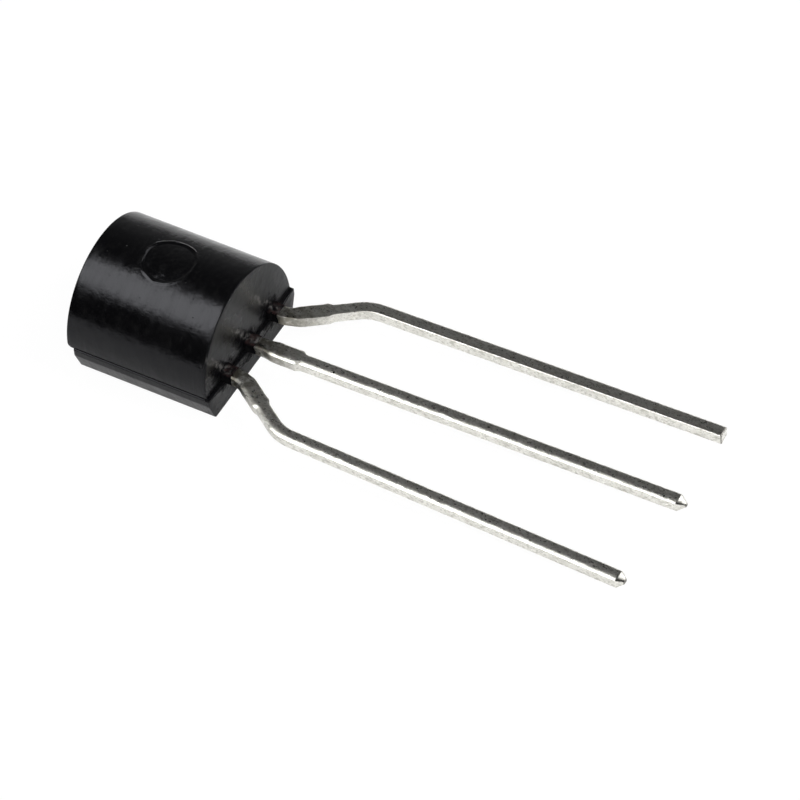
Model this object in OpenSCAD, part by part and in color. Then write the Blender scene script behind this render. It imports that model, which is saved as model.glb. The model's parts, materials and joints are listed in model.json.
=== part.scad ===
// Small-signal transistor in a moulded D-shaped package, with three long leads
// spread to a wider pitch. The leads and the inner pieces are laid out along +X
// from the body, with the body's parting plane at Z = 0 and its flat side below.
// The whole part is then tipped, because the leads outweigh the body: it rests on
// the lead-end edge of its flat side and on the tips of its leads.

/* [Moulded body] */
// Width across the round side, its diameter
body_width = 4.6; // [3.6:0.05:5.6]
// Length of the round half along the leads
body_length = 4.5; // [3.75:0.05:6]
// Height of the round side's axis above the parting plane
axis_height = 0.04; // [0.01:0.01:0.3]
// Depth of the flat half, from the parting plane to the flat side
flat_depth = 0.88; // [0.6:0.01:1.4]
// How much wider the flat half is than the round half, at the parting plane
parting_step = 0.08; // [0.02:0.01:0.2]
// Depth of the upright band at the top of the flat half's sides
side_land = 0.24; // [0.05:0.01:0.4]
// How far each side leans in from there to the flat side
side_draft = 0.23; // [0.05:0.01:0.4]
// How far the flat half stands proud of the round half at the lead end
lead_end_step = 0.1; // [0.02:0.01:0.3]
// How far the flat half is set back from the round half at the far end
far_end_step = 0.21; // [0.02:0.01:0.5]
// Lean of the round half's lead-end face, in degrees
end_draft = 2.6; // [0.5:0.1:8]

/* [Ejector mark] */
// Diameter of the round recess on the round side
mark_diameter = 1.5; // [0.8:0.05:2]
// Depth of the recess below the round surface
mark_depth = 0.04; // [0.02:0.005:0.1]
// Distance of the recess's centre from the lead end
mark_from_end = 2.3; // [1.5:0.05:2.6]

/* [Leads] */
// Thickness of the lead strip
lead_thickness = 0.35; // [0.25:0.01:0.5]
// How far the leads' lower face lies below the parting plane
lead_sink = 0.09; // [0.02:0.01:0.2]
// Width of a lead along its long run
run_width = 0.38; // [0.3:0.01:0.5]
// Width of a lead where it leaves the body
root_width = 0.42; // [0.3:0.01:0.55]
// Width of the band where the trimmed tie bar crossed a lead
tie_bar_width = 0.52; // [0.4:0.01:0.7]
// Length of that band along a lead
tie_bar_length = 0.9; // [0.5:0.05:1.2]
// Distance between neighbouring leads where they leave the body
body_pitch = 1.27; // [1.1:0.01:1.55]
// Length of the taper at a lead's cut tip
tip_length = 0.12; // [0.05:0.01:0.3]
// Width and thickness of the blunt nose at a lead's cut tip
nose_size = 0.14; // [0.05:0.01:0.24]

/* [Lead forming] */
// Straight length outside the body before a lead bends
root_length = 0.3; // [0.2:0.05:0.5]
// Radius of the bend next to the body, at the middle of the lead's width
first_radius = 1; // [0.5:0.05:1.2]
// Radius of the bend back into the long run, at the middle of the lead's width
second_radius = 1.25; // [0.4:0.05:1.5]
// Angle at which the outer leads spread, in degrees
spread_angle = 34; // [25:1:42]
// Distance between neighbouring long runs, where they start
formed_pitch = 2.54; // [2.3:0.01:3.2]
// Outward lean of the left lead's long run, in degrees
left_splay = 1.3; // [0.1:0.1:5]
// Sideways lean of the centre lead's long run, in degrees
centre_splay = 0.75; // [0.05:0.05:2]
// Outward lean of the right lead's long run, in degrees
right_splay = 2; // [0.1:0.1:5]
// Reach of the left lead's tip from the lead end
left_reach = 13.46; // [8:0.02:20]
// Reach of the centre lead's tip from the lead end
centre_reach = 13.46; // [8:0.02:20]
// Reach of the right lead's tip from the lead end
right_reach = 13.26; // [8:0.02:20]

/* [Inside the body] */
// Thickness of the resin past the die pad at the far end
far_cover = 0.39; // [0.2:0.01:0.6]
// Width of the die pad
pad_width = 1.8; // [1:0.05:2.2]
// Distance of the die pad's near edge from the lead end
pad_from_end = 2.4; // [2:0.05:2.5]
// Length of each outer lead's bond post
post_length = 0.7; // [0.4:0.05:0.9]
// Width of each outer lead's bond post
post_width = 0.9; // [0.6:0.05:1.1]
// Distance of each bond post's near edge from the lead end
post_from_end = 1; // [0.6:0.05:1.2]
// Side of the square silicon die
die_size = 0.46; // [0.3:0.02:0.8]
// Thickness of the die
die_thickness = 0.2; // [0.1:0.01:0.3]
// Thickness of the layer that fixes the die to its pad
attach_thickness = 0.03; // [0.02:0.005:0.06]
// How far that layer shows past each side of the die
attach_margin = 0.05; // [0.02:0.01:0.1]

/* [Bond wires] */
// Diameter of the bond wire
wire_diameter = 0.05; // [0.04:0.005:0.08]
// Diameter of the bond at each end of a wire
bond_diameter = 0.12; // [0.1:0.01:0.16]
// Height of that bond
bond_height = 0.07; // [0.06:0.005:0.1]
// Height of a wire's loop above the line between its two bonds
loop_height = 0.45; // [0.3:0.05:0.7]
// Distance of each wire's bond from the middle of the die
bond_offset = 0.1; // [0.08:0.01:0.13]

/* [Hidden] */
$fn = 96;

epoxy_colour = [0.07, 0.07, 0.075];
tin_colour = [0.72, 0.72, 0.7];
silicon_colour = [0.42, 0.44, 0.5];
silver_epoxy_colour = [0.62, 0.62, 0.6];
gold_colour = [0.85, 0.68, 0.3];

round_radius = body_width / 2;
parting_half_width = round_radius + parting_step / 2;
flat_half_width = parting_half_width - side_draft;
far_edge_x = far_end_step - body_length;
past = 1; // how far a cutting shape runs past what it cuts

lead_top = lead_thickness - lead_sink;
attach_top = lead_top + attach_thickness;
die_top = attach_top + die_thickness;
pad_length = body_length - far_end_step - far_cover - pad_from_end;
pad_centre_x = -pad_from_end - pad_length / 2;
post_centre_x = -post_from_end - post_length / 2;

// Where the parallel part of a lead's long run ends and its cut tip starts
function taper_start_x(reach, splay) = reach - tip_length * cos(splay);

// Where the bend next to the body ends, measured along the body's axis
slant_start_x = root_length + first_radius * sin(spread_angle);

// Length of the slanting stretch that carries an outer lead to its long run
function slant_length(splay) =
    (formed_pitch - body_pitch - first_radius * (1 - cos(spread_angle))
        - second_radius * (cos(splay) - cos(spread_angle))) / sin(spread_angle);

// Where an outer lead's long run starts
function run_start_x(splay) =
    slant_start_x + slant_length(splay) * cos(spread_angle)
    + second_radius * (sin(spread_angle) - sin(splay));

// How far an outer lead's outer edge reaches sideways, at the end of its long run
function outer_edge_y(splay, reach) =
    formed_pitch + (taper_start_x(reach, splay) - run_start_x(splay)) * tan(splay)
    + run_width / 2 * cos(splay);

// The pose at rest, on the flat side's lead-end edge and the longest lead's tip
longest_reach = max(left_reach, centre_reach, right_reach);
rest_tilt = atan2(flat_depth - lead_sink, longest_reach - tip_length - lead_end_step);
nose_top = lead_top - (lead_thickness - nose_size) / 2;
far_x = -body_length * cos(rest_tilt);
near_x = longest_reach * cos(rest_tilt) + nose_top * sin(rest_tilt);
left_y = outer_edge_y(left_splay, left_reach);
right_y = -outer_edge_y(right_splay, right_reach);
rest_height = flat_depth * cos(rest_tilt) + lead_end_step * sin(rest_tilt);

// Tips the part into its pose at rest, with the origin under its middle
module at_rest() {
    translate([-(far_x + near_x) / 2, -(left_y + right_y) / 2, rest_height])
        rotate([0, rest_tilt, 0])
            children();
}

// Straight stretch of lead strip, with what follows carried to its end
module strip(length, width) {
    translate([0, -width / 2, 0])
        cube([length, width, lead_thickness]);
    translate([length, 0, 0])
        children();
}

// Bend of lead strip to the left, with what follows carried to its end
module left_bend(radius, angle, width) {
    translate([0, radius, 0]) {
        rotate([0, 0, -90])
            rotate_extrude(angle = angle)
                translate([radius - width / 2, 0])
                    square([width, lead_thickness]);
        rotate([0, 0, angle])
            translate([0, -radius, 0])
                children();
    }
}

// Bend of lead strip to the right, with what follows carried to its end
module right_bend(radius, angle, width) {
    translate([0, -radius, 0]) {
        rotate([0, 0, 90 - angle])
            rotate_extrude(angle = angle)
                translate([radius - width / 2, 0])
                    square([width, lead_thickness]);
        rotate([0, 0, -angle])
            translate([0, radius, 0])
                children();
    }
}

// Outline of a cut tip, from one full size down to the blunt nose
module taper(size) {
    polygon([[0, -size / 2], [tip_length, -nose_size / 2], [tip_length, nose_size / 2], [0, size / 2]]);
}

// Cut tip, narrowed from all four sides
module tip() {
    intersection() {
        linear_extrude(lead_thickness)
            taper(run_width);
        translate([0, run_width / 2, lead_thickness / 2])
            rotate([90, 0, 0])
                linear_extrude(run_width)
                    taper(lead_thickness);
    }
}

// Long run of a lead and its tip
module long_run(length) {
    strip(length, run_width)
        tip();
}

// Outer lead that spreads to the left, from its bond post to its tip
module outer_lead(splay, reach) {
    run = (taper_start_x(reach, splay) - run_start_x(splay)) / cos(splay);
    translate([-post_from_end - post_length, body_pitch, -lead_sink])
        strip(post_length, post_width)
            strip(post_from_end + root_length, root_width)
                left_bend(first_radius, spread_angle, root_width)
                    strip(tie_bar_length, tie_bar_width)
                        strip(slant_length(splay) - tie_bar_length, run_width)
                            right_bend(second_radius, spread_angle - splay, run_width)
                                long_run(run);
}

// Centre lead, which carries the die pad
module centre_lead_shape() {
    run_start = slant_start_x + tie_bar_length + second_radius * sin(centre_splay);
    run = (taper_start_x(centre_reach, centre_splay) - run_start) / cos(centre_splay);
    translate([-pad_from_end - pad_length, 0, -lead_sink])
        strip(pad_length, pad_width)
            strip(pad_from_end + slant_start_x, root_width)
                strip(tie_bar_length, tie_bar_width)
                    left_bend(second_radius, centre_splay, run_width)
                        long_run(run);
}

module left_lead_shape() {
    outer_lead(left_splay, left_reach);
}

module right_lead_shape() {
    mirror([0, 1, 0])
        outer_lead(right_splay, right_reach);
}

module die_attach_shape() {
    side = die_size + 2 * attach_margin;
    translate([pad_centre_x - side / 2, -side / 2, lead_top])
        cube([side, side, attach_thickness]);
}

module die_shape() {
    translate([pad_centre_x - die_size / 2, -die_size / 2, attach_top])
        cube([die_size, die_size, die_thickness]);
}

// Bond at one end of a wire, standing on the surface below it
module bond() {
    cylinder(h = bond_height, d = bond_diameter);
}

// Wire bent to one arc between two bonds, from the die to the left bond post
module left_wire_shape() {
    from = [pad_centre_x, bond_offset, die_top];
    to = [post_centre_x, body_pitch, lead_top];
    level = norm([to.x - from.x, to.y - from.y]);
    drop = from.z - to.z;
    chord = norm([level, drop]);
    arc_radius = (chord * chord / 4 + loop_height * loop_height) / (2 * loop_height);
    arc_angle = 2 * asin(chord / 2 / arc_radius);
    translate(from)
        bond();
    translate(to)
        bond();
    translate((from + to) / 2 + [0, 0, bond_height / 2])
        rotate([0, 0, atan2(to.y - from.y, to.x - from.x)])
            rotate([0, atan2(drop, level), 0])
                translate([0, 0, loop_height - arc_radius])
                    rotate([90, 0, 0])
                        rotate([0, 0, 90 - arc_angle / 2])
                            rotate_extrude(angle = arc_angle)
                                translate([arc_radius, 0])
                                    circle(d = wire_diameter);
}

module right_wire_shape() {
    mirror([0, 1, 0])
        left_wire_shape();
}

// Round half of the body, with its lead-end face leaning back
module round_half() {
    above = axis_height + round_radius + past;
    lean = above * tan(end_draft);
    intersection() {
        translate([-body_length, 0, axis_height])
            rotate([0, 90, 0])
                cylinder(h = body_length, r = round_radius);
        translate([0, round_radius + past, 0])
            rotate([90, 0, 0])
                linear_extrude(2 * (round_radius + past))
                    polygon([[-body_length, 0], [0, 0], [-lean, above], [-body_length, above]]);
    }
}

// Flat half of the body, with sides that are upright and then lean in
module flat_half() {
    translate([far_edge_x, 0, 0])
        rotate([90, 0, 90])
            linear_extrude(lead_end_step - far_edge_x)
                polygon([[-parting_half_width, 0], [-parting_half_width, -side_land],
                         [-flat_half_width, -flat_depth], [flat_half_width, -flat_depth],
                         [parting_half_width, -side_land], [parting_half_width, 0]]);
}

// Recess that the ejector pin leaves, of even depth below the round surface
module ejector_mark() {
    difference() {
        translate([-mark_from_end, 0, axis_height])
            cylinder(h = round_radius + past, d = mark_diameter);
        translate([-body_length, 0, axis_height])
            rotate([0, 90, 0])
                cylinder(h = body_length, r = round_radius - mark_depth);
    }
}

module moulded_body() {
    color(epoxy_colour)
        at_rest()
            difference() {
                union() {
                    round_half();
                    flat_half();
                }
                ejector_mark();
                left_lead_shape();
                centre_lead_shape();
                right_lead_shape();
                die_attach_shape();
                die_shape();
                left_wire_shape();
                right_wire_shape();
            }
}

module left_lead() {
    color(tin_colour)
        at_rest()
            left_lead_shape();
}

module centre_lead() {
    color(tin_colour)
        at_rest()
            centre_lead_shape();
}

module right_lead() {
    color(tin_colour)
        at_rest()
            right_lead_shape();
}

module die() {
    color(silicon_colour)
        at_rest()
            die_shape();
}

module die_attach() {
    color(silver_epoxy_colour)
        at_rest()
            die_attach_shape();
}

module left_bond_wire() {
    color(gold_colour)
        at_rest()
            left_wire_shape();
}

module right_bond_wire() {
    color(gold_colour)
        at_rest()
            right_wire_shape();
}

moulded_body();
left_lead();
centre_lead();
right_lead();
die();
die_attach();
left_bond_wire();
right_bond_wire();
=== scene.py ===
import json
import math

import bmesh
import bpy
from mathutils import Matrix, Vector, noise


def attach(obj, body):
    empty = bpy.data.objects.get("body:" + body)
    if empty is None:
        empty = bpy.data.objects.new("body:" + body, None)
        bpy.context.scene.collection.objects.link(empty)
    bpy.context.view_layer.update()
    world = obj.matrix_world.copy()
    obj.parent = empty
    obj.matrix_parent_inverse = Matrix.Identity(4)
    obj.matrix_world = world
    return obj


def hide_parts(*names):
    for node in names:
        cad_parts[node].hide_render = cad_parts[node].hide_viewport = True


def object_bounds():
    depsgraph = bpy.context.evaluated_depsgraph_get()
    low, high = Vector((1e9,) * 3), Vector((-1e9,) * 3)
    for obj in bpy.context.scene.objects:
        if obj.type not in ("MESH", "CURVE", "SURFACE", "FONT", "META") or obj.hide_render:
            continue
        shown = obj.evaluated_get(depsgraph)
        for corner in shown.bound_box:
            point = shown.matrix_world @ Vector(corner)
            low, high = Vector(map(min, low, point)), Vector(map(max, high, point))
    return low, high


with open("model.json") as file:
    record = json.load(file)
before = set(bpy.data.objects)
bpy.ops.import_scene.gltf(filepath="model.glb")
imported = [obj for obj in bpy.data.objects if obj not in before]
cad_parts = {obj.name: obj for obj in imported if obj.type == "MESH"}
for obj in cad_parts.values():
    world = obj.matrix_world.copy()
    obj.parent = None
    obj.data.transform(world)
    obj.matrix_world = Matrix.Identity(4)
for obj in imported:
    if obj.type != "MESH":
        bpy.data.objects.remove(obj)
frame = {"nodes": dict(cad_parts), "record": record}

CAD_LOW, CAD_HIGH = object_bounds()
RECORD = frame["record"]

# Lengths are in millimetres in the body's own frame: +X from the body's lead end
# towards the lead tips, Z = 0 at the parting plane and the flat side below it.
# Every piece is built there and put in the shared frame by body_to_row().
MM = 0.001

# Moulded body, as in the CAD source
ROUND_RADIUS = 2.3
AXIS_HEIGHT = 0.04
BODY_LENGTH = 4.5
FLAT_DEPTH = 0.88
PARTING_STEP = 0.08
SIDE_LAND = 0.24
SIDE_DRAFT = 0.23
LEAD_END_STEP = 0.1
FAR_END_STEP = 0.21
END_DRAFT = math.radians(2.6)
MARK_FROM_END = 2.3
MARK_RADIUS = 0.75

# Finish of the body
RIM_BEVEL = 0.03  # rounding of the moulded edges
MARK_WALL = 0.07  # width of the recess's sloping wall
MARK_DEPTH = 0.028  # depth of its floor
MARK_UNEVEN = 0.007  # unevenness of the recess's floor
MARK_BLEND = 0.2  # width over which that unevenness fades towards the wall
MARK_REACH = MARK_RADIUS + 0.12  # radius of the finely meshed skin in and round the recess
LIP_HEIGHT = 0.014  # height of the lip that the ejector pin raises
LIP_UNEVEN = 1.3  # share by which that height varies
LIP_STRAY = 0.02  # how far the lip wanders from its circle
LIP_RISE = 0.012  # half the width of its inner slope
LIP_TOP = 0.015  # how far outside its circle the top ends
LIP_FOOT = 0.085  # how far outside its circle the outer slope ends
PARTING_ROUND = 0.12  # rounding of the far end's lower edge
PARTING_REACH = 0.9  # its reach along the body, as a share of that
END_FACE_MIDDLE = 0.9  # height of the point that the rings of the end faces shrink to
FLAT_BEVEL = 0.02  # bevel of the flat half's ends
FLAT_FILLET = 0.036  # rounding of its long edges
LEDGE = 0.03  # how far below the parting plane and behind the end the ledge is uneven
STREAK_LEAN = math.atan2(1.5, 2.35)  # lean of the pale streaks painted on the end face
COLLAR_START = -0.02  # where the skin of resin round a lead starts and ends
COLLAR_END = 0.34
COLLAR_EDGE = 0.04  # how far its outline lies outside the lead's section
COLLAR_THIN = 0.004  # thickness of the skin at its end
COLLAR_THICK = 0.04  # how much thicker it is at the body

# Leads, as in the CAD source
STRIP_LOW = -0.09
STRIP_HIGH = 0.26
STRIP_MIDDLE = (STRIP_LOW + STRIP_HIGH) / 2
RUN_WIDTH = 0.38
ROOT_WIDTH = 0.42
TIE_BAR_WIDTH = 0.52
TIE_BAR_LENGTH = 0.9
BODY_PITCH = 1.27
FORMED_PITCH = 2.54
ROOT_LENGTH = 0.3
FIRST_RADIUS = 1.0
SECOND_RADIUS = 1.25
SPREAD = math.radians(34)
LEFT_SPLAY = math.radians(1.3)
CENTRE_SPLAY = math.radians(0.75)
RIGHT_SPLAY = math.radians(2)
LEFT_REACH = 13.46
CENTRE_REACH = 13.46
RIGHT_REACH = 13.26
POST_START = -1.7
POST_END = -1.0
POST_WIDTH = 0.9
PAD_START = -3.9
PAD_END = -2.4
PAD_WIDTH = 1.8

# Finish of the leads
PATH_STEP = 0.04  # spacing of the rings along a lead
TIGHT_ROLL = (0.025, 0.008, 2)  # die-rolled corner: width, depth and power of its curve
WIDE_ROLL = (0.26, 0.05, 3)
FAR_ROLL = (0.06, 0.04, 1.7)
BURR = 0.014  # bevel of the lower edges
SKIN_ROUGH = 0.004  # unevenness of a lead's skin
ROOT_ROUGHER = 1.2  # how much more uneven it is at the root, as a share
NUB_PLACE = 0.8  # where the tie bar's stub is, from the start of the tie bar's stretch
NUB_LENGTH = 0.1
NUB_HEIGHT = 0.02

# Cut tips: how far before the nominal end the full section stops, how far the point then runs on,
# its size at the end, how much it rises, how far its far lower corner is set back, and which of
# its rings are bare metal
LEFT_TIP = {"back": 0.10, "run": 0.03, "blunt": 0.9, "rise": 0.0, "lean": 0.03, "bare": (0, 6)}
CENTRE_TIP = {"back": 0.075, "run": 0.235, "blunt": 0.2, "rise": 0.0, "lean": 0.0, "bare": (5, 7)}
RIGHT_TIP = {"back": 0.07, "run": 0.19, "blunt": 0.32, "rise": 0.02, "lean": 0.0, "bare": (5, 7)}
TIP_SHARES = (0.06, 0.2, 0.4, 0.6, 0.8, 0.94, 1)  # where the tip's rings are, as shares of its run
BARE_METAL = "bare_metal"  # vertex layer that marks where the cutters left the metal bare

# What differs from lead to lead: the width where the tie bar was, the roll of the near edge, the
# seed of the skin's unevenness, the side that the lead is on, and its tip
LEFT_LEAD = {"tie_width": 0.5, "near_roll": TIGHT_ROLL, "seed": 1.0, "side": 1, "tip": LEFT_TIP}
CENTRE_LEAD = {"tie_width": TIE_BAR_WIDTH, "near_roll": WIDE_ROLL, "seed": 4.0, "side": 1, "tip": CENTRE_TIP}
RIGHT_LEAD = {"tie_width": 0.48, "near_roll": WIDE_ROLL, "seed": 9.0, "side": -1, "tip": RIGHT_TIP}

# Colours of the resin and the tin
RESIN_BLACK = (0.0024, 0.0024, 0.0028)
RESIN_HAZE = (0.006, 0.006, 0.0062)
RESIN_DUST = (0.06, 0.06, 0.057)
# paler colour painted in faint streaks on the end face above each lead
RESIN_PALE_STREAK = (0.15, 0.145, 0.14)
RESIN_FLUSH = (0.02, 0.011, 0.0105)  # dull red of the skin round the leads
TIN_BRIGHT = (0.88, 0.87, 0.82)
TIN_DULL = (0.74, 0.73, 0.675)
TIN_MOTTLE = (0.54, 0.53, 0.48)
TIN_SPECKLE = (0.56, 0.55, 0.5)
TIN_STAIN = (0.3, 0.28, 0.23)
TIN_PIT = (0.25, 0.24, 0.21)
CUT_METAL = (0.12, 0.11, 0.1)

# Light and view, with angles in degrees, distances and sizes in metres, and drops in millimetres
FLOOR_HALF = 0.7
SEEN_DROP = 0.004  # how far the card is below the CAD model's lowest point
SEEN_SHADE = 0.06
SEEN_GLOW = 0.95  # glow of the card that the camera sees
MIRRORED_DROP = 0.008
MIRRORED_SHADE = 0.8
MIRRORED_GLOW = 0.09  # glow of the card that the part mirrors, besides its light
ROOM_AZIMUTH = -155  # middle of the lighter part of the room
ROOM_ELEVATION = -5
ROOM_FOCUS = 3.0  # how quickly it falls off
ROOM_GLOW = 0.31
ROOM_DARKEST = 0.006
SOFTBOX_AZIMUTH = -48
SOFTBOX_ELEVATION = 57
SOFTBOX_DISTANCE = 0.1
SOFTBOX_SIZES = (0.06, 0.04)  # the whole box, and its brighter middle
SOFTBOX_RADIANCES = (5.2, 6.4)
OVERHEAD_ELEVATION = 90
OVERHEAD_DISTANCE = 0.4
OVERHEAD_SIZE = 0.8
OVERHEAD_RADIANCE = 0.4
SIDE_AZIMUTH = 35
SIDE_ELEVATION = 50
SIDE_DISTANCE = 0.3
SIDE_SIZE = 0.15
SIDE_RADIANCE = 9.5
END_AZIMUTH = 105
END_ELEVATION = 45
END_DISTANCE = 0.3
END_SIZE = 0.15
END_RADIANCE = 6
TIP_AZIMUTH = 132
TIP_ELEVATION = 38
TIP_DISTANCE = 0.15
TIP_SIZE = 0.07
TIP_RADIANCE = 2.5
CAMERA_AZIMUTH = 37.06
CAMERA_ELEVATION = 47.18
CAMERA_ROLL = 10.10
CAMERA_DISTANCE = 0.16747
CAMERA_LENS = 274.2
AIM_FROM_MIDDLE = Vector((0.100, 0.388, -1.511)) * MM


def body_to_row():
    """Matrix from the body's own frame, in metres, to the shared frame, from the record's two mounts."""
    mounts = {m["name"]: m for m in RECORD["mounts"]}
    flat, tips = mounts["flat_side"], mounts["lead_ends"]
    along = Vector(tips["axis"]).normalized()
    up = -Vector(flat["axis"]).normalized()
    across = up.cross(along)
    flat_middle = Vector(((LEAD_END_STEP + FAR_END_STEP - BODY_LENGTH) / 2, 0, -FLAT_DEPTH)) * MM
    turn = Matrix((along, across, up)).transposed()
    origin = Vector(flat["pos_m"]) - turn @ flat_middle
    return Matrix.Translation(origin) @ turn.to_4x4()


TO_ROW = body_to_row()


# ---------------------------------------------------------------- mesh helpers


def steps(start, end, size):
    """Evenly spaced values from start up to, but not including, end."""
    count = max(1, round(abs(end - start) / size))
    return [start + (end - start) * i / count for i in range(count)]


def smooth(value, low, high):
    """0 below low, 1 above high and a smooth rise between them."""
    t = min(1.0, max(0.0, (value - low) / (high - low)))
    return t * t * (3 - 2 * t)


def wander(point, scale, seed=0.0):
    """Smooth noise between about -1 and 1 with features of the given size."""
    return noise.noise(Vector((point[0] / scale + seed, point[1] / scale - seed, point[2] / scale)))


def loft(bm, rings):
    """Quads between each ring and the next. Every ring has as many points."""
    rows = [[bm.verts.new(Vector(p) * MM) for p in ring] for ring in rings]
    count = len(rows[0])
    for low, high in zip(rows, rows[1:]):
        for i in range(count):
            j = (i + 1) % count
            bm.faces.new((low[i], low[j], high[j], high[i]))
    return rows


def cap(bm, row, centre, shrinks, shape=None):
    """Closes an end with rings that shrink towards the centre, and shape moves their points."""
    centre = Vector(centre)
    shape = shape or (lambda p: p)
    rim = [v.co / MM for v in row]
    last = row
    count = len(row)
    for shrink in shrinks:
        ring = [bm.verts.new(shape(centre + (p - centre) * shrink) * MM) for p in rim]
        for i in range(count):
            j = (i + 1) % count
            bm.faces.new((last[i], last[j], ring[j], ring[i]))
        last = ring
    middle = bm.verts.new(shape(centre) * MM)
    for i in range(count):
        bm.faces.new((last[i], last[(i + 1) % count], middle))


def finished(bm, name, material, sharp):
    """An object of that mesh, smooth except at edges sharper than the angle, and in its place."""
    bmesh.ops.remove_doubles(bm, verts=bm.verts, dist=1e-8)
    bmesh.ops.recalc_face_normals(bm, faces=bm.faces)
    limit = math.radians(sharp)
    for face in bm.faces:
        face.smooth = True
    for edge in bm.edges:
        if len(edge.link_faces) == 2 and edge.calc_face_angle(0) > limit:
            edge.smooth = False
    mesh = bpy.data.meshes.new(name)
    bm.to_mesh(mesh)
    bm.free()
    piece = bpy.data.objects.new(name, mesh)
    piece.matrix_world = TO_ROW
    bpy.context.scene.collection.objects.link(piece)
    mesh.materials.append(material)
    return piece


def filled(start, end, size):
    """Points about that size apart between two, without the two."""
    return [start.lerp(end, t) for t in steps(0, 1, size / max(size, (end - start).length))[1:]]


def filleted(corners, radius, size):
    """Closed outline through the corners, each rounded by the radius, with points about size apart."""
    points = []
    count = len(corners)
    arc_steps = 4
    for i, corner in enumerate(corners):
        here = Vector(corner)
        before = (Vector(corners[i - 1]) - here).normalized()
        after = (Vector(corners[(i + 1) % count]) - here).normalized()
        start, end = here + before * radius, here + after * radius
        if points:
            points += filled(points[-1], start, size)
        for k in range(arc_steps + 1):
            t = k / arc_steps
            points.append(start.lerp(here, t).lerp(here.lerp(end, t), t))
    return points + filled(points[-1], points[0], size)


# ---------------------------------------------------------------- moulded body


def mark_offset(x, y):
    """Height of the surface in and round the recess that the ejector pin leaves."""
    r = math.hypot(x + MARK_FROM_END, y)
    if r > MARK_REACH:
        return 0.0
    place = (x, y, 0)
    floor = -MARK_DEPTH * (1 - smooth(r, MARK_RADIUS - MARK_WALL, MARK_RADIUS))
    floor += MARK_UNEVEN * wander(place, 0.13, 5) * (1 - smooth(r, MARK_RADIUS - MARK_BLEND, MARK_RADIUS))
    edge = MARK_RADIUS + LIP_STRAY * wander(place, 0.25, 2)
    lip = LIP_HEIGHT * max(0.0, 1 + LIP_UNEVEN * wander(place, 0.2, 8))
    lip *= smooth(r, edge - LIP_RISE, edge + LIP_RISE) * (1 - smooth(r, edge + LIP_TOP, edge + LIP_FOOT))
    return floor + lip


def round_stations():
    """Stations along the round half from the far end (0) to the lead end (1), finer at the recess."""
    middle, reach = 1 - MARK_FROM_END / BODY_LENGTH, MARK_REACH / BODY_LENGTH
    edge = RIM_BEVEL / BODY_LENGTH
    fine, coarse = 0.013 / BODY_LENGTH, 0.1 / BODY_LENGTH
    found = steps(edge, middle - reach, coarse)
    found += steps(middle - reach, middle + reach, fine)
    found += steps(middle + reach, 1 - edge, coarse)
    return found + [1 - edge]


def round_outline(inset):
    """Outline of the round half as (y, z): the arc, finer at the recess, and the parting plane."""
    radius = ROUND_RADIUS - inset
    half = math.degrees(math.asin(MARK_REACH / ROUND_RADIUS))
    fine, coarse, spacing = 0.33, 1.8, 0.12
    angles = steps(0, 90 - half, coarse) + steps(90 - half, 90 + half, fine)
    angles += steps(90 + half, 180, coarse) + [180]
    turns = [math.radians(angle) for angle in angles]
    arc = [(radius * math.cos(a), AXIS_HEIGHT + radius * math.sin(a)) for a in turns]
    low = [(y, inset) for y in steps(-radius, radius, spacing)]
    return arc + low + [(radius, inset)]


def far_setback(z):
    """How far the far end's lower edge is rounded off, near the parting plane."""
    if z >= PARTING_ROUND:
        return 0.0
    t = (PARTING_ROUND - z) / PARTING_ROUND
    return PARTING_ROUND * (1 - math.sqrt(max(0.0, 1 - t * t))) * PARTING_REACH


def round_point(station, y, z):
    """Point of the round half's skin at a station, with the end's lean and the recess."""
    far_x = -BODY_LENGTH + far_setback(z)
    near_x = -z * math.tan(END_DRAFT)
    x = far_x + (near_x - far_x) * station
    if z > AXIS_HEIGHT:
        out = Vector((0, y, z - AXIS_HEIGHT)).normalized()
        lift = mark_offset(x, y)
        return Vector((x, y + out.y * lift, z + out.z * lift))
    return Vector((x, y, z))


def round_half(bm):
    """Round half of the body, closed at both ends."""
    turns = steps(0, math.pi / 2, 0.4)
    quarter = [(RIM_BEVEL * (1 - math.cos(a)), RIM_BEVEL * (1 - math.sin(a))) for a in turns]
    rings = []
    for along, inset in quarter:
        rings.append([round_point(along / BODY_LENGTH, y, z) for y, z in round_outline(inset)])
    for station in round_stations():
        rings.append([round_point(station, y, z) for y, z in round_outline(0)])
    for along, inset in reversed(quarter):
        rings.append([round_point(1 - along / BODY_LENGTH, y, z) for y, z in round_outline(inset)])
    rows = loft(bm, rings)
    shrinks = [1 - i / 12 for i in range(1, 12)]
    cap(bm, rows[0], (-BODY_LENGTH, 0, END_FACE_MIDDLE), shrinks, far_face)
    cap(bm, rows[-1], (-END_FACE_MIDDLE * math.tan(END_DRAFT), 0, END_FACE_MIDDLE), shrinks)


def far_face(point):
    """Keeps the far end's face flat above its rounded lower edge."""
    return Vector((-BODY_LENGTH + far_setback(point.z), point.y, point.z))


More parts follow.
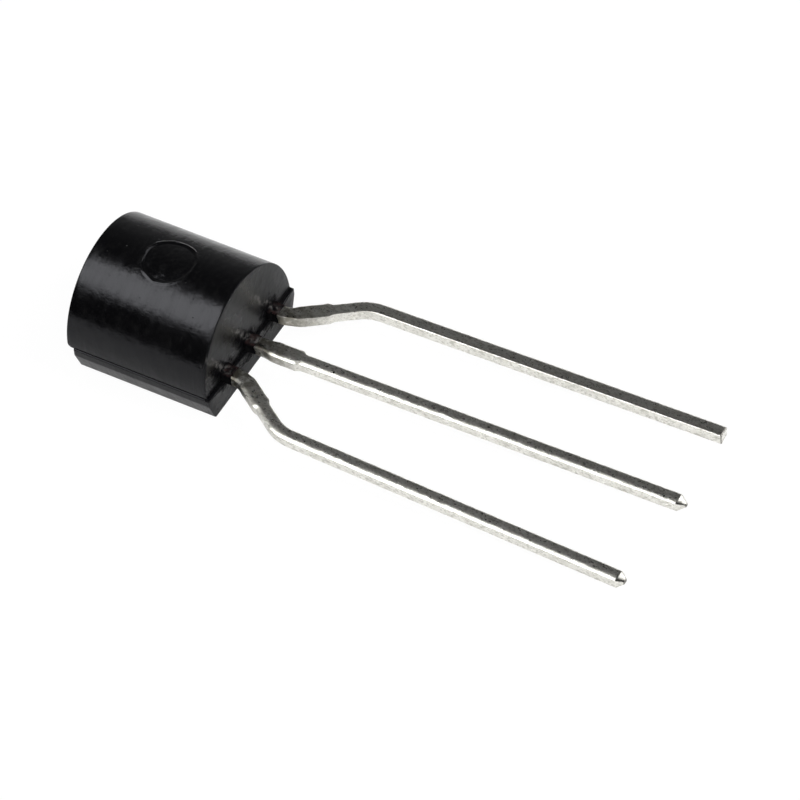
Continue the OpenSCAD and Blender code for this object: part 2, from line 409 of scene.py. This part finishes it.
def flat_half(bm):
    """Flat half of the body, with a rough ledge where it stands proud at the lead end."""
    top = ROUND_RADIUS + PARTING_STEP / 2
    low = top - SIDE_DRAFT
    corners = [(-top, 0), (-top, -SIDE_LAND), (-low, -FLAT_DEPTH)]
    corners += [(low, -FLAT_DEPTH), (top, -SIDE_LAND), (top, 0)]
    outline = filleted(corners, FLAT_FILLET, 0.06)
    far_x = FAR_END_STEP - BODY_LENGTH
    ledge_x = -2 * LEDGE
    places = [(far_x, 1), (far_x + FLAT_BEVEL * 0.3, 0.4), (far_x + FLAT_BEVEL, 0)]
    places += [(x, 0) for x in steps(far_x + 0.1, ledge_x, 0.12)]
    places += [(x, 0) for x in steps(ledge_x, LEAD_END_STEP - FLAT_BEVEL, 0.02)]
    places += [(LEAD_END_STEP - FLAT_BEVEL, 0), (LEAD_END_STEP - FLAT_BEVEL * 0.3, 0.4), (LEAD_END_STEP, 1)]
    centre = Vector((0, -FLAT_DEPTH / 2))
    rings = []
    for x, pull in places:
        ring = []
        for p in outline:
            q = p - (p - centre).normalized() * FLAT_BEVEL * pull
            ring.append(rough_ledge(Vector((x, q.x, q.y))))
        rings.append(ring)
    rows = loft(bm, rings)
    shrinks = [0.9, 0.75, 0.6, 0.45, 0.3, 0.15]
    cap(bm, rows[0], (far_x, 0, -FLAT_DEPTH / 2), shrinks)
    cap(bm, rows[-1], (LEAD_END_STEP, 0, -FLAT_DEPTH / 2), shrinks)


def rough_ledge(point):
    """Uneven resin where the flat half's top shows past the round half."""
    if point.z < -LEDGE or point.x < -LEDGE:
        return point
    dip = abs(wander(point, 0.13)) * 0.05 + abs(wander(point, 0.05, 7)) * 0.02
    back = abs(wander(point, 0.09, 3)) * 0.03
    return point - Vector((back * smooth(point.x, 0.05, LEAD_END_STEP), 0, dip))


def collar(bm, y, seed):
    """Thin uneven skin of resin that climbs a short way along a lead from the body."""
    half = ROOT_WIDTH / 2 + COLLAR_EDGE
    low, high = STRIP_LOW - COLLAR_EDGE, STRIP_HIGH + COLLAR_EDGE
    outline = filleted([(y - half, low), (y + half, low), (y + half, high), (y - half, high)], 0.07, 0.035)
    rings = []
    for x in steps(COLLAR_START, COLLAR_END, 0.02):
        skin = COLLAR_THIN + COLLAR_THICK * (1 - smooth(x, COLLAR_START, 0.26)) ** 2
        ring = []
        for p in outline:
            out = Vector((0, p.x - y, p.y - STRIP_MIDDLE)).normalized()
            point = Vector((x, p.x, p.y)) + out * (skin - COLLAR_EDGE)
            swell = 0.3 * wander(point, 0.12, seed)
            ragged = 0.05 * wander(out, 0.9, seed) * smooth(x, 0, 0.3)
            ring.append(point + out * (swell * skin) + Vector((ragged, 0, 0)))
        rings.append(ring)
    rows = loft(bm, rings)
    cap(bm, rows[-1], (0.3, y, STRIP_MIDDLE), [0.9, 0.5])


def moulded_body(material):
    """Both halves of the body and the skin round each lead, as one piece."""
    bm = bmesh.new()
    round_half(bm)
    flat_half(bm)
    for index, y in enumerate((BODY_PITCH, 0, -BODY_PITCH)):
        collar(bm, y, index * 5.3)
    return finished(bm, "body_skin", material, 40)


# ---------------------------------------------------------------- leads


class Path:
    """Centre line of a lead: points with a heading, built from straight stretches and bends."""

    def __init__(self, x, y):
        self.place, self.heading = Vector((x, y)), 0.0
        self.points = []

    def forward(self, length):
        self.points.append((self.place.copy(), self.heading))
        self.place += Vector((math.cos(self.heading), math.sin(self.heading))) * length

    def straight(self, length):
        count = max(1, round(length / PATH_STEP))
        for _ in range(count):
            self.forward(length / count)

    def bend(self, radius, angle):
        count = max(2, round(abs(radius * angle) / PATH_STEP))
        chord = 2 * radius * math.sin(abs(angle) / count / 2)
        for _ in range(count):
            self.heading += angle / count / 2
            self.forward(chord)
            self.heading += angle / count / 2

    def straight_to(self, x):
        self.straight((x - self.place.x) / math.cos(self.heading))

    def close(self):
        self.points.append((self.place.copy(), self.heading))
        return self.points


def slant_length(splay):
    """Length of the slanting stretch that carries an outer lead to its long run."""
    rise = FORMED_PITCH - BODY_PITCH
    rise -= FIRST_RADIUS * (1 - math.cos(SPREAD))
    rise -= SECOND_RADIUS * (math.cos(splay) - math.cos(SPREAD))
    return rise / math.sin(SPREAD)


def outer_path(splay, reach):
    """Centre line of an outer lead, from its bond post to where its tip starts."""
    path = Path(POST_START, BODY_PITCH)
    path.straight_to(POST_END)
    path.straight_to(ROOT_LENGTH)
    path.bend(FIRST_RADIUS, SPREAD)
    path.straight(slant_length(splay))
    path.bend(SECOND_RADIUS, splay - SPREAD)
    path.straight_to(reach)
    return path.close()


def centre_path():
    """Centre line of the centre lead, from the die pad to where its tip starts."""
    path = Path(PAD_START, 0)
    path.straight_to(PAD_END)
    path.straight_to(ROOT_LENGTH + FIRST_RADIUS * math.sin(SPREAD) + TIE_BAR_LENGTH)
    path.bend(SECOND_RADIUS, CENTRE_SPLAY)
    path.straight_to(CENTRE_REACH - CENTRE_TIP["back"])
    return path.close()


def lead_width(along, shape):
    """Width of a lead at a distance along it, wide inside the body and where the tie bar was."""
    if along < shape["inner_end"]:
        return shape["inner_width"]
    tie_start = shape["tie_start"]
    tie_end = tie_start + TIE_BAR_LENGTH
    root = ROOT_WIDTH + (shape["tie_width"] - ROOT_WIDTH) * smooth(along, tie_start - 0.3, tie_start + 0.05)
    return root + (RUN_WIDTH - root) * smooth(along, tie_end - 0.16, tie_end + 0.04)


def corner(width, depth, power, count):
    """Die-rolled corner that rises from the side (0, -depth) and levels out at the top (width, 0)."""
    shares = [i / count for i in range(count + 1)]
    return [(width * t, -depth * (1 - t) ** power) for t in shares]


def section(width, near_roll):
    """Closed section (across, up) of a lead: the near side is at -width / 2, with its die roll above."""
    half = width / 2
    low, high = STRIP_LOW, STRIP_HIGH
    near = [(-half + u, high + v) for u, v in corner(*near_roll, 9)]
    far = [(half - u, high + v) for u, v in reversed(corner(*FAR_ROLL, 6))]
    top = [(near[-1][0] + (far[0][0] - near[-1][0]) * k / 6, high) for k in range(1, 6)]
    far_side = [(half, far[-1][1] + (low + BURR - far[-1][1]) * k / 4) for k in range(1, 5)]
    bottom = [(half - BURR, low), (half / 3, low), (-half / 3, low), (-half + BURR, low)]
    near_side = [(-half, low + BURR + (near[0][1] - low - BURR) * k / 4) for k in range(4)]
    return near + top + far + far_side + bottom + near_side


def bulge(along, u, half, tie_start):
    """Height of the stub that the cut tie bar leaves on a lead's far side."""
    share = max(0.0, u / half) ** 3
    past = along - (tie_start + NUB_PLACE)
    return NUB_HEIGHT * share * math.exp(-((past / NUB_LENGTH) ** 2))


def ring_at(place, heading, outline, shape):
    """One ring of a lead: the outline set square to the heading, with an uneven skin."""
    side = Vector((-math.sin(heading), math.cos(heading), 0))
    rough = SKIN_ROUGH * (1 + ROOT_ROUGHER * (1 - smooth(place.x, 0.3, 1.6))) * smooth(place.x, 0, 0.1)
    seed, mirror = shape["seed"], shape["side"]
    ring = []
    for u, v in outline:
        across = side * (u * mirror)
        point = Vector((place.x, place.y, v)) + across
        grain = wander(point, 0.22, seed) + 0.35 * wander(point, 0.07, seed + 3)
        out = (across + Vector((0, 0, v - STRIP_MIDDLE))).normalized()
        point += out * rough * grain
        ring.append(Vector((point.x, point.y * mirror, point.z)))
    return ring


def tip_rings(place, heading, outline, shape):
    """Rings of the cut tip, which draws in to a blunt point or leans back on its far side."""
    tip = shape["tip"]
    centre = Vector((0, STRIP_MIDDLE + tip["rise"]))
    forward = Vector((math.cos(heading), math.sin(heading)))
    rings = []
    for share in TIP_SHARES:
        scale = 1 - (1 - tip["blunt"]) * share
        drawn = [centre + (Vector(p) - centre) * scale for p in outline]
        rings.append(ring_at(place + forward * tip["run"] * share, heading, drawn, shape))
    return rings


def leaned(rings, outline, lean):
    """The last rings with their far lower corner set back, as a slanting cut leaves it."""
    half, depth = RUN_WIDTH / 2, STRIP_HIGH - STRIP_LOW
    for ring in rings:
        for point, (u, v) in zip(ring, outline):
            corner_share = max(0.0, (u + half) / (2 * half)) * max(0.0, (STRIP_HIGH - v) / depth)
            point.x -= lean * corner_share
    return rings


def lead(name, points, shape, material):
    """Lead swept along its path, mirrored to the right if shape says so, with its cut tip."""
    bm = bmesh.new()
    bare = bm.verts.layers.float.new(BARE_METAL)
    rings, along = [], 0.0
    previous = points[0][0]
    for place, heading in points:
        along += (place - previous).length
        previous = place
        width = lead_width(along, shape)
        plain = section(width, shape["near_roll"])
        outline = [(u + bulge(along, u, width / 2, shape["tie_start"]), v) for u, v in plain]
        rings.append(ring_at(place, heading, outline, shape))
    end, heading = points[-1]
    rings += leaned(tip_rings(end, heading, plain, shape), plain, shape["tip"]["lean"])
    rows = loft(bm, rings)
    bm.faces.new(rows[0])
    bm.faces.new(rows[-1])
    start, stop = shape["tip"]["bare"]
    for row in rows[-len(TIP_SHARES):][start:stop]:
        for vert in row:
            vert[bare] = 1.0
    return finished(bm, name, material, 35)


def all_leads(material):
    """The three leads, by the CAD node that each stands for."""
    outer = {"inner_end": POST_END - POST_START, "inner_width": POST_WIDTH}
    outer["tie_start"] = ROOT_LENGTH - POST_START + FIRST_RADIUS * SPREAD
    centre = {"inner_end": PAD_END - PAD_START, "inner_width": PAD_WIDTH}
    centre["tie_start"] = ROOT_LENGTH + FIRST_RADIUS * math.sin(SPREAD) - PAD_START
    left_path = outer_path(LEFT_SPLAY, LEFT_REACH - LEFT_TIP["back"])
    right_path = outer_path(RIGHT_SPLAY, RIGHT_REACH - RIGHT_TIP["back"])
    return {
        "left_lead": lead("left_lead_strip", left_path, {**outer, **LEFT_LEAD}, material),
        "centre_lead": lead("centre_lead_strip", centre_path(), {**centre, **CENTRE_LEAD}, material),
        "right_lead": lead("right_lead_strip", right_path, {**outer, **RIGHT_LEAD}, material),
    }


# ---------------------------------------------------------------- materials


class Nodes:
    """Short calls for building a node tree."""

    def __init__(self, name):
        self.material = bpy.data.materials.new(name)
        self.material.use_nodes = True
        self.tree = self.material.node_tree
        self.shader = self.tree.nodes["Principled BSDF"]
        coords = self.tree.nodes.new("ShaderNodeTexCoord")
        self.mm = self.stretched(coords.outputs["Object"], (1 / MM, 1 / MM, 1 / MM))

    def link(self, source, target):
        self.tree.links.new(source, target)

    def stretched(self, vector, scale, shift=(0, 0, 0)):
        node = self.tree.nodes.new("ShaderNodeMapping")
        node.inputs["Scale"].default_value = scale
        node.inputs["Location"].default_value = shift
        self.link(vector, node.inputs["Vector"])
        return node.outputs["Vector"]

    def noise(self, scale, detail=3.0, stretch=(1, 1, 1), shift=(0, 0, 0), rough=0.55):
        """Noise with features of about 1 / scale millimetres."""
        node = self.tree.nodes.new("ShaderNodeTexNoise")
        node.inputs["Scale"].default_value = scale
        node.inputs["Detail"].default_value = detail
        node.inputs["Roughness"].default_value = rough
        self.link(self.stretched(self.mm, stretch, shift), node.inputs["Vector"])
        return node.outputs["Fac"]

    def spots(self, scale, size, share, shift=(0, 0, 0)):
        """1 in small round spots, which only some cells of a Voronoi pattern hold."""
        node = self.tree.nodes.new("ShaderNodeTexVoronoi")
        node.inputs["Scale"].default_value = scale
        self.link(self.stretched(self.mm, (1, 1, 1), shift), node.inputs["Vector"])
        spot = self.between(node.outputs["Distance"], size, size * 0.4)
        parts = self.tree.nodes.new("ShaderNodeSeparateColor")
        self.link(node.outputs["Color"], parts.inputs["Color"])
        kept = self.between(parts.outputs[0], share, share * 0.9)
        return self.maths("MULTIPLY", spot, kept)

    def between(self, value, low, high, to_low=0.0, to_high=1.0):
        """Smooth rise of the result from to_low to to_high as the value goes from low to high."""
        node = self.tree.nodes.new("ShaderNodeMapRange")
        node.interpolation_type = "SMOOTHSTEP"
        node.inputs["From Min"].default_value = min(low, high)
        node.inputs["From Max"].default_value = max(low, high)
        node.inputs["To Min"].default_value = to_low if low < high else to_high
        node.inputs["To Max"].default_value = to_high if low < high else to_low
        self.link(value, node.inputs["Value"])
        return node.outputs["Result"]

    def maths(self, operation, first, second=0.0):
        node = self.tree.nodes.new("ShaderNodeMath")
        node.operation = operation
        for socket, value in zip(node.inputs, (first, second)):
            if isinstance(value, (int, float)):
                socket.default_value = value
            else:
                self.link(value, socket)
        return node.outputs["Value"]

    def part(self, axis):
        """One coordinate of the body's own frame, in millimetres."""
        node = self.tree.nodes.new("ShaderNodeSeparateXYZ")
        self.link(self.mm, node.inputs["Vector"])
        return node.outputs[axis]

    def layer(self, name):
        """Value that the mesh's vertices carry under that name."""
        node = self.tree.nodes.new("ShaderNodeAttribute")
        node.attribute_name = name
        return node.outputs["Fac"]

    def mix(self, share, first, second):
        """Colour between two, where either may be a colour or a socket."""
        node = self.tree.nodes.new("ShaderNodeMix")
        node.data_type = "RGBA"
        self.link(share, node.inputs["Factor"])
        for socket, value in ((node.inputs[6], first), (node.inputs[7], second)):
            if isinstance(value, tuple):
                socket.default_value = (*value, 1)
            else:
                self.link(value, socket)
        return node.outputs[2]

    def bump(self, height, depth, under=None):
        """Bump of that depth in millimetres, on top of another."""
        node = self.tree.nodes.new("ShaderNodeBump")
        node.inputs["Distance"].default_value = depth * MM
        node.inputs["Strength"].default_value = 1
        self.link(height, node.inputs["Height"])
        if under:
            self.link(under, node.inputs["Normal"])
        return node.outputs["Normal"]

    def done(self, color, roughness, normal):
        self.link(color, self.shader.inputs["Base Color"])
        self.link(roughness, self.shader.inputs["Roughness"])
        self.link(normal, self.shader.inputs["Normal"])
        return self.material


def near_exits(n, spread, drop):
    """1 close to where each lead leaves the body, falling to 0 over that spread, with a ragged edge."""
    found = None
    core = 0.25  # radius within which the result is 1, but for the ragged edge
    ragged = n.maths("MULTIPLY", n.maths("SUBTRACT", n.noise(4, 4, shift=(3, 3, 7)), 0.5), 0.9)
    height = n.maths("SUBTRACT", n.part("Z"), drop)
    for y in (BODY_PITCH, 0, -BODY_PITCH):
        offset = n.maths("ADD", n.part("Y"), drop - y)
        squares = n.maths("ADD", n.maths("POWER", offset, 2), n.maths("POWER", height, 2))
        share = n.between(n.maths("ADD", n.maths("SQRT", squares), ragged), core + spread, core)
        found = share if found is None else n.maths("MAXIMUM", found, share)
    return n.maths("MULTIPLY", found, n.between(n.part("X"), -0.14, -0.05))


def pale_end_streaks(n):
    """Faint pale streaks on the end face, leaning away above each lead."""
    found = None
    uneven = n.maths("MULTIPLY", n.maths("SUBTRACT", n.noise(3, 3, shift=(1, 6, 2)), 0.5), 0.3)
    lifted = n.maths("MULTIPLY", n.maths("SUBTRACT", n.part("Z"), STRIP_HIGH), math.sin(STREAK_LEAN))
    for y in (BODY_PITCH, 0, -BODY_PITCH):
        across = n.maths("MULTIPLY", n.maths("SUBTRACT", n.part("Y"), y), math.cos(STREAK_LEAN))
        across = n.maths("ADD", n.maths("ADD", across, lifted), uneven)
        share = n.between(n.maths("ABSOLUTE", across), 0.14, 0.02)
        found = share if found is None else n.maths("MAXIMUM", found, share)
    found = n.maths("MULTIPLY", found, n.between(n.noise(6, 4, shift=(9, 2, 4)), 0.4, 0.62))
    found = n.maths("MULTIPLY", found, n.between(n.part("Z"), 1.9, 0.5))
    found = n.maths("MULTIPLY", found, n.between(n.part("Z"), 0, STRIP_HIGH))
    return n.maths("MULTIPLY", found, n.between(n.part("X"), -0.12, -0.09))


def epoxy():
    """Black moulding compound: glossy, faintly rippled and dusty, and rough and dull at the leads."""
    n = Nodes("black_moulding_compound")
    exits = near_exits(n, 0.35, 0.12)
    end = n.between(n.part("X"), -0.16, -0.08)
    specks = n.maths("MAXIMUM", n.spots(2.2, 0.05, 0.3), n.spots(4.7, 0.09, 0.2, (3, 1, 2)))
    cloud = n.noise(1.1, 4)
    flush = n.noise(7, 3, shift=(4, 2, 1))
    dust = n.maths("MULTIPLY", specks, n.between(cloud, 0.4, 0.65))
    haze = n.noise(4.5, 5, (1.6, 0.8, 0.8), (7, 7, 3), rough=0.65)
    colour = n.mix(n.between(haze, 0.48, 0.72), RESIN_BLACK, RESIN_HAZE)
    colour = n.mix(dust, colour, RESIN_DUST)
    # Paler colour painted in faint streaks on the end face, leaning away above each lead.
    colour = n.mix(n.maths("MULTIPLY", pale_end_streaks(n), 0.6), colour, RESIN_PALE_STREAK)
    raised = n.maths("MULTIPLY", n.between(n.part("X"), 0, 0.08), n.between(n.part("Z"), 0.2, 0.3))
    red = n.maths("MULTIPLY", raised, n.between(flush, 0.4, 0.65))
    colour = n.mix(red, colour, RESIN_FLUSH)
    streaks = n.noise(1, 5, (26, 1.3, 1.3), rough=0.65)
    broad = n.noise(1, 3, (7, 0.8, 0.8), (5, 1, 8), rough=0.6)
    waves = n.noise(1, 2, (1.6, 0.9, 0.9), (2, 7, 4))
    ripple = n.noise(2.6, 4, shift=(6, 3, 5))
    grain = n.noise(22, 4)
    normal = n.bump(waves, 0.016)
    normal = n.bump(broad, 0.008, under=normal)
    normal = n.bump(ripple, 0.012, under=normal)
    normal = n.bump(streaks, 0.0036, under=normal)
    normal = n.bump(grain, 0.0018, under=normal)
    normal = n.bump(specks, -0.006, under=normal)
    normal = n.bump(n.maths("MULTIPLY", exits, n.noise(9, 4, shift=(1, 5, 9))), 0.03, under=normal)
    rough = n.maths("ADD", n.between(cloud, 0.35, 0.7, 0.11, 0.21), n.maths("MULTIPLY", exits, 0.3))
    rough = n.maths("ADD", rough, n.between(broad, 0.35, 0.7, -0.02, 0.07))
    rough = n.maths("ADD", rough, n.maths("MULTIPLY", end, 0.13))
    gloss = n.between(n.part("Z"), -0.3, -0.22, 0.37, 0.5)
    gloss = n.maths("MULTIPLY", gloss, n.maths("SUBTRACT", 1, n.maths("MULTIPLY", exits, 0.88)))
    n.link(gloss, n.shader.inputs["Specular IOR Level"])
    n.shader.inputs["Specular Tint"].default_value = (0.93, 0.94, 1, 1)
    n.shader.inputs["IOR"].default_value = 1.32
    return n.done(colour, rough, normal)


def tin():
    """Tin plate: mottled, pitted and drawn out along the lead, stained at the root, bare where cut."""
    n = Nodes("bright_tin_plate")
    root = n.between(n.part("X"), 1.9, 0.3)
    cut = n.layer(BARE_METAL)
    patches = n.noise(3.2, 4, (0.7, 1, 1))
    mottle = n.noise(8, 5, (0.6, 1, 1), (5, 5, 1), rough=0.65)
    speckle = n.noise(17, 4, (0.6, 1, 1), rough=0.6)
    drawn = n.noise(1, 4, (1.2, 24, 24))
    pits = n.maths("MULTIPLY", n.spots(5, 0.16, 0.22), n.between(mottle, 0.45, 0.6))
    colour = n.mix(n.between(patches, 0.35, 0.7), TIN_BRIGHT, TIN_DULL)
    colour = n.mix(n.between(mottle, 0.52, 0.68), colour, TIN_MOTTLE)
    colour = n.mix(n.between(speckle, 0.5, 0.66), colour, TIN_SPECKLE)
    stain = n.maths("MULTIPLY", root, n.between(n.noise(4, 4, shift=(8, 1, 3)), 0.35, 0.6))
    colour = n.mix(stain, colour, TIN_STAIN)
    colour = n.mix(n.maths("MULTIPLY", pits, 0.36), colour, TIN_PIT)
    colour = n.mix(n.maths("MULTIPLY", cut, 0.8), colour, CUT_METAL)
    rough = n.between(mottle, 0.35, 0.7, 0.27, 0.38)
    normal = n.bump(patches, 0.006)
    normal = n.bump(mottle, 0.0022, under=normal)
    normal = n.bump(drawn, 0.0012, under=normal)
    normal = n.bump(speckle, 0.0008, under=normal)
    normal = n.bump(n.maths("MULTIPLY", root, n.noise(7, 3, shift=(3, 9, 2))), 0.005, under=normal)
    normal = n.bump(pits, -0.0012, under=normal)
    n.shader.inputs["Metallic"].default_value = 1
    return n.done(colour, rough, normal)


def polished_silicon():
    """The die's polished surface."""
    n = Nodes("polished_silicon")
    colour = n.mix(n.noise(8, 3), (0.16, 0.17, 0.2), (0.22, 0.23, 0.27))
    n.shader.inputs["Metallic"].default_value = 0.7
    return n.done(colour, n.between(n.noise(30, 3), 0.3, 0.7, 0.08, 0.2), n.bump(n.noise(40, 3), 0.0005))


def silver_filled_epoxy():
    """The die attach's flakes of silver."""
    n = Nodes("silver_filled_epoxy")
    flakes = n.noise(45, 4)
    colour = n.mix(flakes, (0.5, 0.5, 0.48), (0.72, 0.72, 0.7))
    n.shader.inputs["Metallic"].default_value = 0.6
    return n.done(colour, n.between(flakes, 0.3, 0.7, 0.4, 0.65), n.bump(flakes, 0.004))


def drawn_gold():
    """The bond wires' gold, with fine lines along them."""
    n = Nodes("drawn_gold")
    lines = n.noise(1, 4, (6, 60, 60))
    colour = n.mix(n.noise(12, 3), (0.9, 0.66, 0.25), (0.97, 0.75, 0.34))
    n.shader.inputs["Metallic"].default_value = 1
    return n.done(colour, n.between(lines, 0.3, 0.7, 0.15, 0.32), n.bump(lines, 0.0008))


def card_surface(name, shade, glow):
    """Matt card with faint fibres, of that shade and glow."""
    n = Nodes(name)
    fibres = n.noise(1.2, 5)
    colour = n.mix(fibres, (shade * 0.98,) * 3, (shade,) * 3)
    n.shader.inputs["Specular IOR Level"].default_value = 0
    n.shader.inputs["Emission Color"].default_value = (1, 1, 1, 1)
    n.shader.inputs["Emission Strength"].default_value = glow
    return n.done(colour, n.between(fibres, 0, 1, 0.8, 0.9), n.bump(fibres, 0.002))


# ---------------------------------------------------------------- studio


def direction(azimuth, elevation):
    """Direction to a place seen from the object. Azimuth 0 is -Y and 90 is +X, in degrees."""
    a, e = math.radians(azimuth), math.radians(elevation)
    return Vector((math.sin(a) * math.cos(e), -math.cos(a) * math.cos(e), math.sin(e)))


def area_light(name, middle, towards, distance, size, radiance):
    """Square light of that radiance, aimed at the middle, which the camera doesn't see."""
    light = bpy.data.lights.new(name, "AREA")
    light.shape = "SQUARE"
    light.size = size
    light.energy = radiance * math.pi * size * size
    lamp = bpy.data.objects.new(name, light)
    lamp.location = middle + towards * distance
    lamp.rotation_mode = "QUATERNION"
    lamp.rotation_quaternion = (middle - lamp.location).to_track_quat("-Z", "Y")
    lamp.visible_camera = False
    bpy.context.scene.collection.objects.link(lamp)
    return lamp


def lights(middle):
    """Two softboxes that the part mirrors, and three fills that nothing mirrors."""
    towards = direction(SOFTBOX_AZIMUTH, SOFTBOX_ELEVATION)
    for index, (size, radiance) in enumerate(zip(SOFTBOX_SIZES, SOFTBOX_RADIANCES)):
        box = area_light(f"softbox_{index}", middle, towards, SOFTBOX_DISTANCE, size, radiance)
        box.visible_diffuse = False
    towards = direction(0, OVERHEAD_ELEVATION)
    size, radiance = OVERHEAD_SIZE, OVERHEAD_RADIANCE
    overhead = area_light("overhead_fill", middle, towards, OVERHEAD_DISTANCE, size, radiance)
    overhead.visible_glossy = False
    towards = direction(SIDE_AZIMUTH, SIDE_ELEVATION)
    side = area_light("side_fill", middle, towards, SIDE_DISTANCE, SIDE_SIZE, SIDE_RADIANCE)
    side.visible_glossy = False
    towards = direction(END_AZIMUTH, END_ELEVATION)
    end = area_light("end_fill", middle, towards, END_DISTANCE, END_SIZE, END_RADIANCE)
    end.visible_glossy = False
    towards = direction(TIP_AZIMUTH, TIP_ELEVATION)
    tips = area_light("tip_softbox", middle, towards, TIP_DISTANCE, TIP_SIZE, TIP_RADIANCE)
    tips.visible_diffuse = False


def dark_studio():
    """Dark room, lighter low down behind the object."""
    world = bpy.data.worlds.new("studio")
    bpy.context.scene.world = world
    world.use_nodes = True
    tree = world.node_tree
    coords = tree.nodes.new("ShaderNodeTexCoord")
    facing = tree.nodes.new("ShaderNodeVectorMath")
    facing.operation = "DOT_PRODUCT"
    facing.inputs[1].default_value = direction(ROOM_AZIMUTH, ROOM_ELEVATION)
    tree.links.new(coords.outputs["Generated"], facing.inputs[0])
    source = facing.outputs["Value"]
    falloff = (("MAXIMUM", 0.0), ("POWER", ROOM_FOCUS), ("MULTIPLY", ROOM_GLOW), ("ADD", ROOM_DARKEST))
    for operation, amount in falloff:
        node = tree.nodes.new("ShaderNodeMath")
        node.operation = operation
        node.inputs[1].default_value = amount
        tree.links.new(source, node.inputs[0])
        source = node.outputs["Value"]
    tree.nodes["Background"].inputs["Color"].default_value = (1, 1, 1, 1)
    tree.links.new(source, tree.nodes["Background"].inputs["Strength"])


def studio_card(name, drop, material):
    """Flat card, a hair below the CAD model's lowest point."""
    bm = bmesh.new()
    bmesh.ops.create_grid(bm, x_segments=24, y_segments=24, size=FLOOR_HALF)
    for vert in bm.verts:
        vert.co.z = CAD_LOW.z - drop * MM
    mesh = bpy.data.meshes.new(name)
    bm.to_mesh(mesh)
    bm.free()
    card = bpy.data.objects.new(name, mesh)
    bpy.context.scene.collection.objects.link(card)
    mesh.materials.append(material)
    return card


def studio_floor():
    """The camera sees an evenly lit white card. The part mirrors one that its own shadow darkens."""
    seen = studio_card("seen_card", SEEN_DROP, card_surface("seen_card", SEEN_SHADE, SEEN_GLOW))
    seen.visible_glossy = False
    seen.visible_diffuse = False
    seen.visible_shadow = False
    surface = card_surface("mirrored_card", MIRRORED_SHADE, MIRRORED_GLOW)
    mirrored = studio_card("mirrored_card", MIRRORED_DROP, surface)
    mirrored.visible_camera = False


def camera(middle):
    """Camera at the photograph's angle, leaning a little about its own axis."""
    data = bpy.data.cameras.new("camera")
    data.sensor_width = 36
    data.lens = CAMERA_LENS
    data.clip_start = 0.01
    data.clip_end = 5
    viewer = bpy.data.objects.new("camera", data)
    towards = direction(CAMERA_AZIMUTH, CAMERA_ELEVATION)
    aim = middle + AIM_FROM_MIDDLE
    turn = (-towards).to_track_quat("-Z", "Y").to_matrix()
    turn = turn @ Matrix.Rotation(math.radians(-CAMERA_ROLL), 3, "Z")
    viewer.matrix_world = Matrix.Translation(aim + towards * CAMERA_DISTANCE) @ turn.to_4x4()
    bpy.context.scene.collection.objects.link(viewer)
    bpy.context.scene.camera = viewer


# ---------------------------------------------------------------- assembly


def dress():
    """Detailed pieces in place of the body and leads, and materials for the nodes inside."""
    body = moulded_body(epoxy())
    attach(body, "root")
    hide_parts("moulded_body")
    for node, piece in all_leads(tin()).items():
        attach(piece, "root")
        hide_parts(node)
    inner = {"die": polished_silicon(), "die_attach": silver_filled_epoxy()}
    gold = drawn_gold()
    inner.update({"left_bond_wire": gold, "right_bond_wire": gold})
    for node, material in inner.items():
        data = frame["nodes"][node].data
        data.materials.clear()
        data.materials.append(material)


MIDDLE = (CAD_LOW + CAD_HIGH) / 2
bpy.context.scene.view_settings.view_transform = "Standard"
camera(MIDDLE)
lights(MIDDLE)
dark_studio()
studio_floor()
dress()
